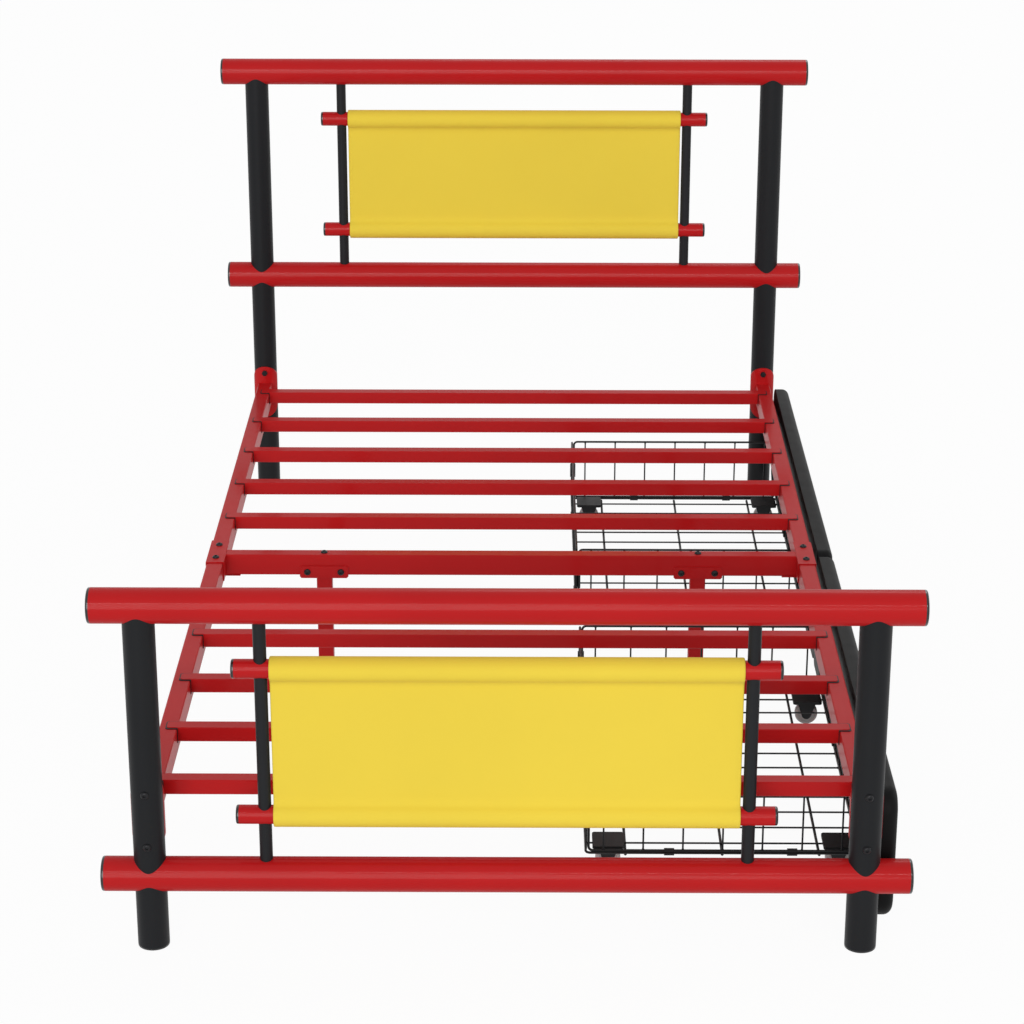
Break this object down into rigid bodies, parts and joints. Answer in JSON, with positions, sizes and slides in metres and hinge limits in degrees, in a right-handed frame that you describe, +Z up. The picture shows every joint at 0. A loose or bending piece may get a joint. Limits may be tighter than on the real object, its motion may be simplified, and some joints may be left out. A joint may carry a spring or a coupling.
{
  "type": "metal bed with drawers",
  "caption": "Single bed of round steel tubes with cloth panels at both ends, a slatted deck and wheeled wire drawers under one side.",
  "frame": {"origin": "on the floor, midway between the two ends and the two side rails", "axes": "+Z up, +Y from the foot end to the head end, +X to the side where the drawers pull out"},
  "size_m": [1.181, 2.0136, 0.9087],
  "materials": {
    "red_enamel": "satin powder coat",
    "black_enamel": "fine textured powder coat",
    "basket_wire": "black dip coat",
    "yellow_cloth": "plain woven cloth",
    "cap_plastic": "semi-gloss",
    "pad_plastic": "matte",
    "bolt_black": "black oxide",
    "drawer_board": "black foil, fine grain",
    "caster_plastic": "moulded",
    "caster_wheel": "moulded grey",
    "clip_black": "moulded"
  },
  "bodies": {
    "bed_frame": {"centre_beam": "red_enamel", "centre_legs": "red_enamel", "floor_feet": "cap_plastic", "foot_fabric_panel": "yellow_cloth", "foot_left_post": "black_enamel", "foot_left_side_rail": "red_enamel", "foot_lower_rail": "red_enamel", "foot_panel_bars": "red_enamel", "foot_panel_uprights": "black_enamel", "foot_right_post": "black_enamel", "foot_right_side_rail": "red_enamel", "foot_top_rail": "red_enamel", "frame_bolts": "bolt_black", "head_fabric_panel": "yellow_cloth", "head_left_post": "black_enamel", "head_left_side_rail": "red_enamel", "head_lower_rail": "red_enamel", "head_panel_bars": "red_enamel", "head_panel_uprights": "black_enamel", "head_right_post": "black_enamel", "head_right_side_rail": "red_enamel", "head_top_rail": "red_enamel", "rail_end_plates": "red_enamel", "side_rail_joiners": "red_enamel", "slat_01": "red_enamel", "slat_02": "red_enamel", "slat_03": "red_enamel", "slat_04": "red_enamel", "slat_05": "red_enamel", "slat_06": "red_enamel", "slat_07": "red_enamel", "slat_08": "red_enamel", "slat_09": "red_enamel", "slat_10": "red_enamel", "slat_end_pads": "pad_plastic", "tube_end_caps": "cap_plastic"},
    "rear_drawer": {"rear_basket_fixings": "clip_black", "rear_basket_floor": "basket_wire", "rear_basket_foot_wall": "basket_wire", "rear_basket_head_wall": "basket_wire", "rear_basket_inner_wall": "basket_wire", "rear_basket_outer_wall": "basket_wire", "rear_caster_brackets": "caster_plastic", "rear_drawer_front": "drawer_board"},
    "rear_caster_1": {"rear_wheel_1": "caster_wheel"},
    "rear_caster_2": {"rear_wheel_2": "caster_wheel"},
    "rear_caster_3": {"rear_wheel_3": "caster_wheel"},
    "rear_caster_4": {"rear_wheel_4": "caster_wheel"},
    "front_drawer": {"front_basket_fixings": "clip_black", "front_basket_floor": "basket_wire", "front_basket_foot_wall": "basket_wire", "front_basket_head_wall": "basket_wire", "front_basket_inner_wall": "basket_wire", "front_basket_outer_wall": "basket_wire", "front_caster_brackets": "caster_plastic", "front_drawer_front": "drawer_board"},
    "front_caster_1": {"front_wheel_1": "caster_wheel"},
    "front_caster_2": {"front_wheel_2": "caster_wheel"},
    "front_caster_3": {"front_wheel_3": "caster_wheel"},
    "front_caster_4": {"front_wheel_4": "caster_wheel"}
  },
  "joints": [
    {"name": "rear_drawer_slide", "type": "slide", "parent": "bed_frame", "child": "rear_drawer", "axis": [1, 0, 0], "range_m": [0, 0.6]},
    {"name": "rear_wheel_1_spin", "type": "hinge", "parent": "rear_drawer", "child": "rear_caster_1", "pos_m": [0.1547, 0.2105, 0.0195], "axis": [0, 1, 0], "continuous": true},
    {"name": "rear_wheel_2_spin", "type": "hinge", "parent": "rear_drawer", "child": "rear_caster_2", "pos_m": [0.5107, 0.2105, 0.0195], "axis": [0, 1, 0], "continuous": true},
    {"name": "rear_wheel_3_spin", "type": "hinge", "parent": "rear_drawer", "child": "rear_caster_3", "pos_m": [0.1547, 0.7415, 0.0195], "axis": [0, 1, 0], "continuous": true},
    {"name": "rear_wheel_4_spin", "type": "hinge", "parent": "rear_drawer", "child": "rear_caster_4", "pos_m": [0.5107, 0.7415, 0.0195], "axis": [0, 1, 0], "continuous": true},
    {"name": "front_drawer_slide", "type": "slide", "parent": "bed_frame", "child": "front_drawer", "axis": [1, 0, 0], "range_m": [0, 0.6]},
    {"name": "front_wheel_1_spin", "type": "hinge", "parent": "front_drawer", "child": "front_caster_1", "pos_m": [0.1547, -0.7415, 0.0195], "axis": [0, 1, 0], "continuous": true},
    {"name": "front_wheel_2_spin", "type": "hinge", "parent": "front_drawer", "child": "front_caster_2", "pos_m": [0.5107, -0.7415, 0.0195], "axis": [0, 1, 0], "continuous": true},
    {"name": "front_wheel_3_spin", "type": "hinge", "parent": "front_drawer", "child": "front_caster_3", "pos_m": [0.1547, -0.2105, 0.0195], "axis": [0, 1, 0], "continuous": true},
    {"name": "front_wheel_4_spin", "type": "hinge", "parent": "front_drawer", "child": "front_caster_4", "pos_m": [0.5107, -0.2105, 0.0195], "axis": [0, 1, 0], "continuous": true}
  ],
  "couplings": [
    {"joint": "rear_wheel_1_spin", "follows": "rear_drawer_slide", "rad_per_m": 51.282},
    {"joint": "rear_wheel_2_spin", "follows": "rear_drawer_slide", "rad_per_m": 51.282},
    {"joint": "rear_wheel_3_spin", "follows": "rear_drawer_slide", "rad_per_m": 51.282},
    {"joint": "rear_wheel_4_spin", "follows": "rear_drawer_slide", "rad_per_m": 51.282},
    {"joint": "front_wheel_1_spin", "follows": "front_drawer_slide", "rad_per_m": 51.282},
    {"joint": "front_wheel_2_spin", "follows": "front_drawer_slide", "rad_per_m": 51.282},
    {"joint": "front_wheel_3_spin", "follows": "front_drawer_slide", "rad_per_m": 51.282},
    {"joint": "front_wheel_4_spin", "follows": "front_drawer_slide", "rad_per_m": 51.282}
  ]
}
